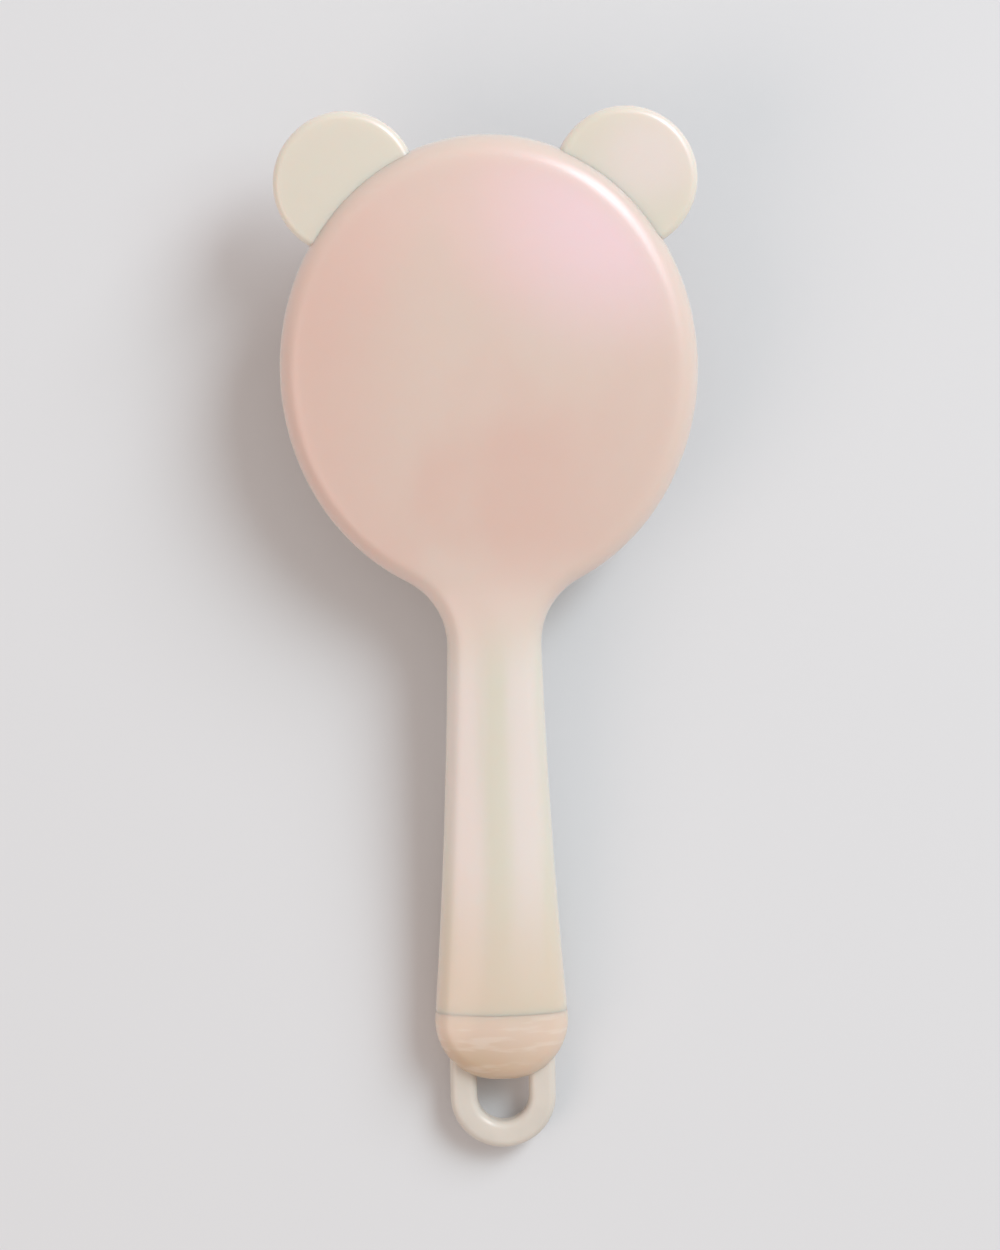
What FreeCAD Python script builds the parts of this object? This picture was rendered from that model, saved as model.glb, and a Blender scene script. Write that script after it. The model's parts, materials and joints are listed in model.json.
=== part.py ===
"""Vanity hairbrush with two round ears: an oval air-cushion head, a flared handle, a domed end cap and a hanging loop.

Sizes are in millimetres. The brush is built level in its own frame: +X to the right, +Y from the handle towards
the ears, +Z out of its smooth back, with z = 0 at the plane where the two body shells meet and x = y = 0 at the
middle of the head. lay_down() then places every piece as the brush lies on a table, resting on its bristle tips
and on the end of its handle, with the origin on the table under the middle of the whole brush.
"""
import FreeCAD
import Part

import functools
import math
import os

from FreeCAD import Matrix, Placement, Rotation, Vector

# Head outline, seen from above
HEAD_WIDTH = 82.4
HEAD_LENGTH = 91.9
NECK_FILLET = 14.5

# Handle outline: half its width at three places, measured along the brush from the middle of the head
NECK_Y = -60.6
NECK_HALF_WIDTH = 9.5
GRIP_Y = -95.0
GRIP_HALF_WIDTH = 10.95
SEAM_Y = -128.6
SEAM_HALF_WIDTH = 13.2
CAP_LENGTH = 14.2
CAP_CORNER = 12.1

# Thickness of the two shells, each measured from the plane where they meet
BACK_CROWN = 8.2
BACK_EDGE = 5.0
BACK_ROUND = 4.7
FRONT_FACE = 6.5
FRONT_ROUND = 4.0
NECK_HALF_THICKNESS = 7.2
NECK_EDGE = 5.0
END_HALF_THICKNESS = 9.0
END_EDGE = 5.4
CAP_TIP_EDGE = 5.8
SHELL_WALL = 2.2
SHELL_ROOF = 2.0

# Ears: a flat disc each, whose root is held between the shells on a peg
EAR_RADIUS = 14.1
EAR_X = 27.5
EAR_Y = 36.9
EAR_TOP = 2.6
EAR_THICKNESS = 5.2
EAR_ROUND = 1.5
EAR_ROOT_HALF_AXIS = 35.8
EAR_PEG_RADIUS = 1.3
EAR_PEG_DISTANCE = 40.4

# Air chamber in the front shell, as half axes along X of ovals like the head
FLOOR_THICKNESS = 2.4
CHAMBER_HALF_AXIS = 32.8
LEDGE_Z = -3.4
RECESS_HALF_AXIS = 36.6

# Soft cushion with its bead, and the ring that snaps in over the bead
PAD_HALF_AXIS = 33.2
PAD_SKIN = 1.2
BEAD_HALF_AXIS = 36.2
BEAD_THICKNESS = 1.4
PAD_WALL_Z = -7.6
PAD_SHOULDER_HALF_AXIS = 30.6
PAD_SHOULDER_Z = -9.3
PAD_CROWN_Z = -11.0
BEZEL_HALF_AXIS = 34.2
BEZEL_FACE_Z = -6.7
SNAP_RIB = 0.4
VENT_RADIUS = 0.8

# Bristle pins, in rings about one in the middle
PIN_RINGS = 5
PIN_PITCH = 5.7
PIN_FAN = 1.6
PIN_LENGTH = 13.0
PIN_BASE_RADIUS = 0.65
PIN_TIP_RADIUS = 0.45
BALL_RADIUS = 0.95
PIN_HEAD_RADIUS = 1.4
PIN_HEAD_THICKNESS = 0.7

# Screws through the chamber's floor into posts under the back
SCREW_COUNT = 4
SCREW_DISTANCE = 22.0
SCREW_RADIUS = 1.0
SCREW_LENGTH = 6.0
SCREW_HEAD_RADIUS = 2.0
SCREW_HEAD_HEIGHT = 1.3
SCREW_RECESS = 0.3
BOSS_RADIUS = 2.6

# Pegs that line up the two halves of the handle
PEG_YS = (-66.5, -80.5, -94.5)
PEG_RADIUS = 1.5
PEG_HEIGHT = 3.0
PEG_BOSS_RADIUS = 3.0

# Hanging loop: its tongue runs up inside the handle and a dowel locks it
LOOP_HALF_WIDTH = 10.6
LOOP_HOLE_HALF_WIDTH = 5.2
LOOP_THICKNESS = 5.0
LOOP_ROUND = 1.6
LOOP_CENTRE_Y = -146.6
LOOP_HOLE_TOP_Y = -141.3
LOOP_SHOULDER_Y = -135.8
TONGUE_HALF_WIDTH = 4.5
TONGUE_END_Y = -109.0
DOWEL_RADIUS = 1.6
DOWEL_Y = -114.5
DOWEL_BOSS_RADIUS = 3.6
DOWEL_REACH = 5.2

# End cap: a hollow dome on a collar at the end of the handle shells
CAP_WALL = 2.0
COLLAR_LENGTH = 5.0
COLLAR_WALL = 1.4

# Fits between pieces
SLIP = 0.1
SEAT = 0.05

HALF_WIDTH = HEAD_WIDTH / 2
HALF_LENGTH = HEAD_LENGTH / 2
STRETCH = HEAD_LENGTH / HEAD_WIDTH
TIP_Y = SEAM_Y - CAP_LENGTH
FAR = 400.0


def ease(t):
    """Smooth step from 0 to 1."""
    t = min(1.0, max(0.0, t))
    return t * t * (3 - 2 * t)


def between(y, start, end, at_start, at_end):
    """A value that changes smoothly from at_start to at_end as y goes from start to end."""
    return at_start + (at_end - at_start) * ease((y - start) / (end - start))


def box(x, y, z):
    """A block between two values on each axis."""
    block = Part.makeBox(x[1] - x[0], y[1] - y[0], z[1] - z[0])
    block.translate(Vector(x[0], y[0], z[0]))
    return block


def rod(radius, x, y, low, high):
    """An upright cylinder."""
    return Part.makeCylinder(radius, high - low, Vector(x, y, low))


def oval_rod(half_axis, low, high):
    """An upright cylinder with the oval shape of the head, half_axis wide along X."""
    return stretched(rod(half_axis, 0, 0, low, high))


def stretched(shape):
    """The shape made longer along Y, so that what is round becomes an oval like the head."""
    longer = Matrix()
    longer.scale(1.0, STRETCH, 1.0)
    return shape.transformGeometry(longer)


def turned(profile):
    """The solid that a closed profile of (radius, height) edges sweeps about Z, made oval like the head."""
    face = Part.Face(Part.Wire(profile))
    return stretched(face.revolve(Vector(0, 0, 0), Vector(0, 0, 1), 360))


def joined(*shapes):
    """Several solids as one clean solid."""
    return shapes[0].fuse(list(shapes[1:])).removeSplitter()


def upright_edges(shape, picked):
    """The vertical edges whose place (x, y) passes the test."""
    found = []
    for edge in shape.Edges:
        a, b = edge.Vertexes[0].Point, edge.Vertexes[-1].Point
        if abs(a.z - b.z) > 0.5 and math.hypot(a.x - b.x, a.y - b.y) < 1e-4 and picked(a.x, a.y):
            found.append(edge)
    return found


def side_circle():
    """Centre and radius of the circle that the handle's right side follows through its three widths."""
    points = [(NECK_HALF_WIDTH, NECK_Y), (GRIP_HALF_WIDTH, GRIP_Y), (SEAM_HALF_WIDTH, SEAM_Y)]
    circle = Part.Arc(*[Vector(x, y, 0) for x, y in points]).toShape().Curve
    return circle.Center, circle.Radius


def side_x(y, inset):
    """Half the handle's width at y, taken inwards by inset."""
    centre, radius = side_circle()
    return centre.x - math.sqrt((radius + inset) ** 2 - (y - centre.y) ** 2)


def plan_block(inset, low, high):
    """An upright block with the outline of head, neck, handle and cap, taken inwards by inset all round."""
    head = Part.Ellipse(Vector(0, 0, low), HALF_LENGTH - inset, HALF_WIDTH - inset)
    head_face = Part.Face(Part.Wire(head.toShape()))
    head_face.rotate(Vector(0, 0, 0), Vector(0, 0, 1), 90)
    top_y, end_y = -HALF_LENGTH * 0.6, TIP_Y + inset
    ys = (top_y, (top_y + end_y) / 2, end_y)
    right = [Vector(side_x(y, inset), y, low) for y in ys]
    left = [Vector(-p.x, p.y, low) for p in reversed(right)]
    edges = [
        Part.Arc(*right).toShape(),
        Part.makeLine(right[-1], left[0]),
        Part.Arc(*left).toShape(),
        Part.makeLine(left[-1], right[0]),
    ]
    up = Vector(0, 0, high - low)
    block = joined(head_face.extrude(up), Part.Face(Part.Wire(edges)).extrude(up))
    neck = upright_edges(block, lambda x, y: top_y > y > NECK_Y)
    block = block.makeFillet(NECK_FILLET + inset, neck)
    corners = upright_edges(block, lambda x, y: y < SEAM_Y)
    return block.makeFillet(CAP_CORNER - inset, corners)


def outline_half_width(outline, y):
    """Half the outline's width at y, between the middle of the head and the seam."""
    y = max(SEAM_Y, min(0.0, y))
    return max(abs(p.x) for p in outline if abs(p.y - y) < 0.25)


def spine_back(y):
    """Height of the back along the middle of the brush."""
    if y > 0:
        return BACK_CROWN - (BACK_CROWN - BACK_EDGE) * (y / HALF_LENGTH) ** 2
    if y > NECK_Y:
        return between(y, 0, NECK_Y, BACK_CROWN, NECK_HALF_THICKNESS)
    return handle_spine(y)


def spine_front(y):
    """Depth of the front along the middle of the brush: flat over the head."""
    if y > NECK_Y:
        return between(y, -HALF_LENGTH + 2, NECK_Y, FRONT_FACE, NECK_HALF_THICKNESS)
    return handle_spine(y)


def handle_spine(y):
    """Half the handle's thickness, and the fall of the cap towards its tip."""
    swell_end = SEAM_Y + CAP_LENGTH * 0.4
    if y > swell_end:
        return between(y, NECK_Y, swell_end, NECK_HALF_THICKNESS, END_HALF_THICKNESS)
    fall = END_HALF_THICKNESS - CAP_TIP_EDGE
    return END_HALF_THICKNESS - fall * ((swell_end - y) / (swell_end - TIP_Y)) ** 2


def edge_height(y, head_edge):
    """Height of the outline's edge above the meeting plane, before it is rounded."""
    if y > NECK_Y:
        return between(y, -HALF_LENGTH * 0.7, NECK_Y, head_edge, NECK_EDGE)
    return between(y, NECK_Y, SEAM_Y, NECK_EDGE, END_EDGE)


def crown_block(outline, spine, head_edge, drop):
    """A block whose curved top follows the spine lengthways and falls off sideways to the edge height."""
    step = 3.0
    y, rows = HALF_LENGTH + 6, []
    while y > TIP_Y - 6:
        top = spine(y)
        edge = edge_height(y, head_edge)
        width = outline_half_width(outline, y)
        if y > 0:
            edge = top - spine(0) + head_edge
        row = []
        for i in range(-5, 6):
            share = i / 4
            fall = share * share if abs(share) <= 1 else 2 - math.exp(2 - 2 * abs(share))
            row.append(Vector(share * width, y, top - fall * (top - edge) - drop))
        rows.append(row)
        y -= step
    surface = Part.BSplineSurface()
    surface.interpolate(rows)
    return surface.toShape().extrude(Vector(0, 0, -FAR))


@functools.lru_cache(None)
def body_outline():
    """Points all round the brush's outline."""
    outline = []
    for wire in plan_block(0.0, 0, 1).Wires:
        outline += wire.discretize(Distance=0.2)
    return outline


def half_body(spine, head_edge, rounding, inset=0.0, drop=0.0):
    """One half of the brush's body, standing on the meeting plane, with its rim rounded over."""
    block = plan_block(inset, 0.0, END_HALF_THICKNESS + 6)
    half = block.common(crown_block(body_outline(), spine, head_edge, drop))
    rim = [e for e in half.Edges if min(v.Z for v in e.Vertexes) > 0.5 and not is_upright(e)]
    return half.makeFillet(rounding, rim)


def is_upright(edge):
    """Whether an edge runs straight up."""
    a, b = edge.Vertexes[0].Point, edge.Vertexes[-1].Point
    return math.hypot(a.x - b.x, a.y - b.y) < 1e-4 and abs(a.z - b.z) > 0.5


@functools.lru_cache(None)
def back_body(inset=0.0, drop=0.0):
    """The half of the brush's body above the meeting plane."""
    return half_body(spine_back, BACK_EDGE, BACK_ROUND - inset, inset, drop)


@functools.lru_cache(None)
def front_body(inset=0.0, drop=0.0):
    """The half of the brush's body below the meeting plane."""
    half = half_body(spine_front, FRONT_FACE, FRONT_ROUND - inset, inset, drop)
    return half.mirror(Vector(0, 0, 0), Vector(0, 0, 1))


def slab(low_y, high_y):
    """A block across the whole brush between two places along it."""
    return box((-FAR / 2, FAR / 2), (low_y, high_y), (-FAR / 2, FAR / 2))


def ear_disc(side, extra=0.0):
    """One ear as a flat disc with rounded edges, cut off along an oval inside the head."""
    low, high = EAR_TOP - EAR_THICKNESS - extra, EAR_TOP + extra
    disc = rod(EAR_RADIUS + extra, side * EAR_X, EAR_Y, low, high)
    rims = [e for e in disc.Edges if len(e.Vertexes) == 1]
    disc = disc.makeFillet(EAR_ROUND, rims)
    return disc.cut(oval_rod(EAR_ROOT_HALF_AXIS - extra, low - 1, high + 1))


def ear_peg_place(side):
    """Where the peg stands that holds an ear's root."""
    reach = math.hypot(EAR_X, EAR_Y)
    return side * EAR_X * EAR_PEG_DISTANCE / reach, EAR_Y * EAR_PEG_DISTANCE / reach


def ear(side):
    """An ear with the hole in its root."""
    x, y = ear_peg_place(side)
    hole = rod(EAR_PEG_RADIUS + SEAT, x, y, -FAR, FAR)
    return ear_disc(side).cut(hole)


def screw_places():
    """Where the screws stand in the chamber's floor."""
    places = []
    for i in range(SCREW_COUNT):
        turn = math.radians(45 + 360 * i / SCREW_COUNT)
        places.append((SCREW_DISTANCE * math.cos(turn), SCREW_DISTANCE * math.sin(turn) * STRETCH))
    return places


def screw_head_low():
    """Height of the underside of the screw heads, which are let into the floor."""
    return -FLOOR_THICKNESS + SCREW_RECESS


def body_end(half, collar):
    """A handle shell cut off at the seam, with its collar left standing where the collar shape is."""
    return half.cut(slab(-FAR / 2, SEAM_Y)).fuse(collar)


def collar_ring(make_half):
    """The thin sleeve on the end of a handle shell that carries the cap."""
    inset = CAP_WALL + SLIP
    ring = make_half(inset, inset).cut(make_half(inset + COLLAR_WALL, inset + COLLAR_WALL))
    return ring.common(slab(SEAM_Y - COLLAR_LENGTH, SEAM_Y + SHELL_WALL))


def bosses(places, radius, low, high, body):
    """Round posts between two heights, trimmed to the body they stand in."""
    posts = [rod(radius, x, y, low, high) for x, y in places]
    return [post.common(body) for post in posts]


def back_shell():
    """The smooth back of head and handle, hollow, with posts for screws, pegs and dowel."""
    body = back_body()
    hollow = back_body(SHELL_WALL, SHELL_ROOF)
    shell = body.cut(hollow.common(slab(SEAM_Y - 1, FAR / 2)))
    shell = body_end(shell, collar_ring(back_body))
    posts = bosses(screw_places(), BOSS_RADIUS, 0, FAR / 4, body)
    posts += bosses([(0, y) for y in PEG_YS], PEG_BOSS_RADIUS, 0, FAR / 4, body)
    dowel_low = LOOP_THICKNESS / 2 + SLIP
    posts += bosses([(0, DOWEL_Y)], DOWEL_BOSS_RADIUS, dowel_low, FAR / 4, body)
    shell = shell.fuse(posts)
    cuts = [rod(SCREW_RADIUS + SEAT, x, y, -1, SCREW_LENGTH - FLOOR_THICKNESS + 0.6) for x, y in screw_places()]
    cuts += [rod(PEG_RADIUS + SEAT, 0, y, -1, PEG_HEIGHT + SLIP) for y in PEG_YS]
    cuts.append(rod(DOWEL_RADIUS + SEAT, 0, DOWEL_Y, -1, DOWEL_REACH + SLIP))
    cuts += [ear_disc(side, SEAT) for side in (-1, 1)]
    return shell.cut(cuts).removeSplitter()


def front_shell():
    """The front of head and handle: the chamber with its ledge and floor, and a hollow handle."""
    body = front_body()
    hollow = front_body(SHELL_WALL, SHELL_ROOF).common(slab(SEAM_Y - 1, -HALF_LENGTH - 2))
    shell = body_end(body.cut(hollow), collar_ring(front_body))
    shell = shell.cut([
        oval_rod(CHAMBER_HALF_AXIS, -FAR, -FLOOR_THICKNESS),
        oval_rod(RECESS_HALF_AXIS, -FAR, LEDGE_Z),
        snap_ring(RECESS_HALF_AXIS - 1, SLIP),
    ])
    posts = bosses([(0, y) for y in PEG_YS], PEG_BOSS_RADIUS, -FAR / 4, 0, body)
    posts += bosses([(0, DOWEL_Y)], DOWEL_BOSS_RADIUS, -FAR / 4, -LOOP_THICKNESS / 2 - SLIP, body)
    posts += [rod(PEG_RADIUS, 0, y, -1, PEG_HEIGHT) for y in PEG_YS]
    shell = shell.fuse(posts)
    cuts = []
    for x, y in screw_places():
        cuts.append(rod(SCREW_RADIUS + SEAT, x, y, -FLOOR_THICKNESS - 1, 1))
        cuts.append(rod(SCREW_HEAD_RADIUS + SEAT, x, y, -FLOOR_THICKNESS - 1, -FLOOR_THICKNESS + SCREW_HEAD_HEIGHT))
    cuts.append(rod(DOWEL_RADIUS + SEAT, 0, DOWEL_Y, -DOWEL_REACH - SLIP, 1))
    cuts += [ear_disc(side, SEAT) for side in (-1, 1)]
    shell = shell.cut(cuts)
    pegs = []
    for side in (-1, 1):
        x, y = ear_peg_place(side)
        pegs.append(rod(EAR_PEG_RADIUS, x, y, EAR_TOP - EAR_THICKNESS - 0.5, EAR_TOP - SEAT))
    return shell.fuse(pegs).removeSplitter()


def screws():
    """The screws, each with its head let into the chamber's floor."""
    found = []
    for x, y in screw_places():
        top = -FLOOR_THICKNESS + SCREW_HEAD_HEIGHT
        head = rod(SCREW_HEAD_RADIUS, x, y, top - SCREW_HEAD_HEIGHT, top)
        shank = rod(SCREW_RADIUS, x, y, top - SCREW_HEAD_HEIGHT / 2, top + SCREW_LENGTH - FLOOR_THICKNESS)
        socket = rod(SCREW_RADIUS * 0.75, x, y, top - SCREW_HEAD_HEIGHT - 1, top - SCREW_HEAD_HEIGHT / 2)
        found.append(head.fuse(shank).cut(socket).removeSplitter())
    return Part.makeCompound(found)


def snap_ring(half_axis, extra):
    """An oval ring with a small rounded rib around it, level with the middle of the bezel."""
    middle = (LEDGE_Z - BEAD_THICKNESS + BEZEL_FACE_Z) / 2
    outer = RECESS_HALF_AXIS + SNAP_RIB - SLIP + extra
    half = SNAP_RIB + extra
    points = [(half_axis, middle - half), (outer - half, middle - half), (outer, middle)]
    points += [(outer - half, middle + half), (half_axis, middle + half)]
    return turned(straight_edges(points))


def straight_edges(points):
    """A closed profile of straight edges through (radius, height) points."""
    corners = [Vector(r, 0, z) for r, z in points]
    return [Part.makeLine(p, q) for p, q in zip(corners, corners[1:] + corners[:1])]


def bezel():
    """The ring that snaps into the front shell and holds the cushion's bead on its ledge."""
    top = LEDGE_Z - BEAD_THICKNESS
    ring = oval_rod(RECESS_HALF_AXIS - SLIP, BEZEL_FACE_Z, top)
    ring = ring.fuse(snap_ring(BEZEL_HALF_AXIS + 0.5, 0.0))
    ring = ring.cut(oval_rod(BEZEL_HALF_AXIS, -FAR, FAR)).removeSplitter()
    lips = [e for e in ring.Edges if abs(e.BoundBox.ZMax - BEZEL_FACE_Z) < 1e-3 and e.BoundBox.ZLength < 1e-3]
    return ring.makeFillet(0.5, lips)


def pad_surface(offset):
    """Profile points of the cushion's face, moved inwards by an offset."""
    wall = PAD_HALF_AXIS - offset
    shoulder = PAD_SHOULDER_HALF_AXIS - offset * 0.4
    return [(wall, PAD_WALL_Z), (shoulder, PAD_SHOULDER_Z + offset), (0.0, PAD_CROWN_Z + offset)]


def pad_profile(offset, top):
    """The closed half profile of the cushion's outside or inside, from its axis to its rim."""
    wall, shoulder, crown = pad_surface(offset)
    rim = Vector(wall[0], 0, top)
    low_rim = Vector(wall[0], 0, wall[1])
    edge = Vector(shoulder[0], 0, shoulder[1])
    tip = Vector(0, 0, crown[1])
    slope = (shoulder[1] - crown[1]) / shoulder[0]
    corner = Vector(wall[0], 0, shoulder[1] + slope * 0.6 * (wall[0] - shoulder[0]))
    turn = Part.BezierCurve()
    turn.setPoles([low_rim, corner, edge])
    lean = edge - corner
    dome = Part.BezierCurve()
    dome.setPoles([edge, edge + lean * 3.5, Vector(shoulder[0] * 0.4, 0, crown[1]), tip])
    axis_top = Vector(0, 0, top)
    return [
        Part.makeLine(rim, low_rim),
        turn.toShape(),
        dome.toShape(),
        Part.makeLine(tip, axis_top),
        Part.makeLine(axis_top, rim),
    ]


def pad_height(share):
    """Height of the cushion's face at a share of its half width, read off its profile."""
    probe = Part.makeLine(Vector(share, 0, 0), Vector(share, 0, -FAR))
    face = Part.Face(Part.Wire(pad_profile(0.0, -1.0)))
    return min(v.Z for v in face.common(probe).Vertexes)


def cushion():
    """The soft cushion: a domed skin with a bead round its rim, a vent, and a hole for each pin."""
    outside = turned(pad_profile(0.0, LEDGE_Z - SEAT))
    inside = turned(pad_profile(PAD_SKIN, LEDGE_Z + 1))
    bead = oval_rod(BEAD_HALF_AXIS, LEDGE_Z - BEAD_THICKNESS + SEAT, LEDGE_Z - SEAT)
    skin = outside.fuse(bead).cut(inside)
    vent = rod(VENT_RADIUS, PIN_PITCH / 2, PIN_PITCH * 0.4, -FAR, 0)
    holes = [vent]
    for ring in range(PIN_RINGS + 1):
        for place in pin_places(ring):
            hole = Part.makeCylinder(PIN_BASE_RADIUS + 0.02, PAD_SKIN * 4, Vector(0, 0, -PAD_SKIN * 2))
            hole.Placement = place
            holes.append(hole)
    return skin.cut(holes)


def pin_places(ring):
    """A placement on the cushion's face for each pin of a ring, leaning outwards with the dome."""
    if ring == 0:
        return [Placement(Vector(0, 0, PAD_CROWN_Z), Rotation())]
    count = 6 * ring
    share = PIN_PITCH * ring
    height = pad_height(share)
    places = []
    for i in range(count):
        turn = 2 * math.pi * (i + 0.5 * (ring % 2)) / count
        spot = Vector(share * math.cos(turn), share * math.sin(turn) * STRETCH, height)
        out = Vector(math.cos(turn), math.sin(turn), 0)
        lean = Rotation(out.cross(Vector(0, 0, -1)), -PIN_FAN * ring)
        places.append(Placement(spot, lean))
    return places


def pin_head_lift(ring):
    """How far a pin's flat head stands off the cushion's inside, so that it clears the slope there."""
    share = PIN_PITCH * ring
    if ring == 0:
        return SLIP
    rise = pad_height(share + PIN_HEAD_RADIUS) - pad_height(share)
    return SLIP + max(0.0, rise - PIN_HEAD_RADIUS * math.sin(math.radians(PIN_FAN * ring)))


def pin(lift):
    """One bristle pin, pointing down from the origin: a flat head, a tapered shaft and a ball on its tip."""
    low = PAD_SKIN + lift
    head = rod(PIN_HEAD_RADIUS, 0, 0, low, low + PIN_HEAD_THICKNESS)
    neck = rod(PIN_BASE_RADIUS, 0, 0, 0, low + PIN_HEAD_THICKNESS / 2)
    shaft = Part.makeCone(PIN_TIP_RADIUS, PIN_BASE_RADIUS, PIN_LENGTH - BALL_RADIUS, Vector(0, 0, -PIN_LENGTH + BALL_RADIUS))
    ball = Part.makeSphere(BALL_RADIUS, Vector(0, 0, -PIN_LENGTH + BALL_RADIUS))
    return head.fuse([neck, shaft, ball]).removeSplitter()


def pin_ring(ring):
    """All the pins of one ring."""
    pins = []
    lift = pin_head_lift(ring)
    for place in pin_places(ring):
        one = pin(lift)
        one.Placement = place
        pins.append(one)
    return pins[0] if len(pins) == 1 else Part.makeCompound(pins)


def loop_blank(extra=0.0):
    """The flat outline of the hanging loop and its tongue as a plate, made larger by an extra."""
    low, high = -LOOP_THICKNESS / 2 - extra, LOOP_THICKNESS / 2 + extra
    end = rod(LOOP_HALF_WIDTH + extra, 0, LOOP_CENTRE_Y, low, high)
    wide = LOOP_HALF_WIDTH + extra
    sides = box((-wide, wide), (LOOP_CENTRE_Y, LOOP_SHOULDER_Y + extra), (low, high))
    return end.fuse(sides).removeSplitter()


def hanging_loop():
    """The loop, its hole closed near the cap, and the tongue with the dowel's hole."""
    plate = loop_blank()
    low, high = -LOOP_THICKNESS / 2, LOOP_THICKNESS / 2
    narrow = LOOP_HOLE_HALF_WIDTH
    hole = rod(narrow, 0, LOOP_CENTRE_Y, low, high)
    hole = hole.fuse(box((-narrow, narrow), (LOOP_CENTRE_Y, LOOP_HOLE_TOP_Y), (low, high))).removeSplitter()
    loop = plate.cut(hole)
    flat = [e for e in loop.Edges if e.BoundBox.ZLength < 1e-3 and e.BoundBox.YMax < LOOP_SHOULDER_Y + 0.01]
    loop = loop.makeFillet(LOOP_ROUND, [e for e in flat if not across_at(e, LOOP_SHOULDER_Y)])
    tongue = box((-TONGUE_HALF_WIDTH, TONGUE_HALF_WIDTH), (LOOP_SHOULDER_Y - 1, TONGUE_END_Y), (low, high))
    loop = loop.fuse(tongue)
    return loop.cut(rod(DOWEL_RADIUS + SEAT, 0, DOWEL_Y, -FAR, FAR)).removeSplitter()


def across_at(edge, y):
    """Whether an edge runs across the brush at y."""
    return abs(edge.BoundBox.YMin - y) < 1e-3 and abs(edge.BoundBox.YMax - y) < 1e-3


def dowel():
    """The dowel through the tongue, held in both shells."""
    return rod(DOWEL_RADIUS, 0, DOWEL_Y, -DOWEL_REACH, DOWEL_REACH)


def end_cap():
    """The hollow domed cap, with the slot that the loop comes out of."""
    outside = back_body().fuse(front_body()).removeSplitter()
    inside = back_body(CAP_WALL, CAP_WALL).fuse(front_body(CAP_WALL, CAP_WALL)).removeSplitter()
    cap = outside.cut(inside).common(slab(-FAR / 2, SEAM_Y - SEAT))
    slot = loop_blank(SLIP)
    return cap.cut(slot)


def lowest(points, lean):
    """Height of the lowest of some points when the brush leans by an angle in degrees."""
    turn = math.radians(lean)
    return min(p.y * math.sin(turn) + p.z * math.cos(turn) for p in points)


def resting_place(shapes):
    """The brush at rest: bristle tips and handle end on the table, which is z = 0 under the brush's middle."""
    tips, rest, every = [], [], []
    for name, shape in shapes.items():
        if name.startswith(("cushion", "shell", "back")):
            continue
        points = shape.tessellate(0.1)[0]
        every += points
        if name.startswith("pins"):
            tips += [p for p in points if p.z < PAD_CROWN_Z]
        else:
            rest += points
    low, high = 0.0, 20.0
    for _ in range(40):
        lean = (low + high) / 2
        if lowest(tips, lean) < lowest(rest, lean):
            low = lean
        else:
            high = lean
    turn = Rotation(Vector(1, 0, 0), lean)
    laid = [turn.multVec(p) for p in every]
    middle = (max(p.y for p in laid) + min(p.y for p in laid)) / 2
    return Placement(Vector(0, -middle, -min(p.z for p in laid)), turn)


def main():
    """Build every piece, then write each one where it lies."""
    shapes = {
        "back_shell": back_shell(),
        "front_shell": front_shell(),
        "ear_left": ear(-1),
        "ear_right": ear(1),
        "shell_screws": screws(),
        "cushion_pad": cushion(),
        "cushion_bezel": bezel(),
        "end_cap": end_cap(),
        "hanging_loop": hanging_loop(),
        "loop_dowel": dowel(),
    }
    for ring in range(PIN_RINGS + 1):
        shapes["pins_ring_%d" % ring] = pin_ring(ring)
    place = resting_place(shapes)
    print("resting place", place.Base, "lean", math.degrees(place.Rotation.Angle))
    os.makedirs("parts", exist_ok=True)
    for name, shape in shapes.items():
        shape.Placement = place.multiply(shape.Placement)
        shape.exportStep("parts/%s.step" % name)
        print(name, shape.isValid(), len(shape.Solids), round(shape.Volume, 1))


main()
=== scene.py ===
"""Vanity hairbrush with round ears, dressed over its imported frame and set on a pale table."""

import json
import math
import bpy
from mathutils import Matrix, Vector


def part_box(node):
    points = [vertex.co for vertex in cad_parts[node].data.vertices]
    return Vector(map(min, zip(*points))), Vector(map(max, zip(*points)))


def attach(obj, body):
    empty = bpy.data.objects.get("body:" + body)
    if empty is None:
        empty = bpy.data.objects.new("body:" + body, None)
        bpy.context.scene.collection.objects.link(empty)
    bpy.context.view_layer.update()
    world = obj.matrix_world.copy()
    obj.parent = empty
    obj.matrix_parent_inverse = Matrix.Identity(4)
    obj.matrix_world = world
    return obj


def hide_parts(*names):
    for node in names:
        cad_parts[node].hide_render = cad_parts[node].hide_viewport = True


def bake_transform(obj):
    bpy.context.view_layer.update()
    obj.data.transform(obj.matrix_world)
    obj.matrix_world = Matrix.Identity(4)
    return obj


bl_info = {
    "name": "Vanity Hairbrush",
    "version": (1, 0, 0),
    "blender": (4, 5, 0),
    "location": "View3D > Sidebar > Hairbrush",
    "description": "Builds the looks of a cushioned hairbrush with round ears and a hanging loop",
    "category": "Object",
}

import bmesh
import bpy
from mathutils import Matrix, Vector

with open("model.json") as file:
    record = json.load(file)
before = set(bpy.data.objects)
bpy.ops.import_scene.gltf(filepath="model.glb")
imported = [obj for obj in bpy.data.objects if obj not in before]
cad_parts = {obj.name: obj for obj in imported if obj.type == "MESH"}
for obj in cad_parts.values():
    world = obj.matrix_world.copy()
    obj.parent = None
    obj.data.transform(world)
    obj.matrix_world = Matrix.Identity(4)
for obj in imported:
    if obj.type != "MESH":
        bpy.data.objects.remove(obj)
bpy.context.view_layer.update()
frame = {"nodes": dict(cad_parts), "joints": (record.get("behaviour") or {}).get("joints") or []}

MM = 0.001
DOWEL_Y = -114.5  # the dowel's place along the level brush, in millimetres


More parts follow.
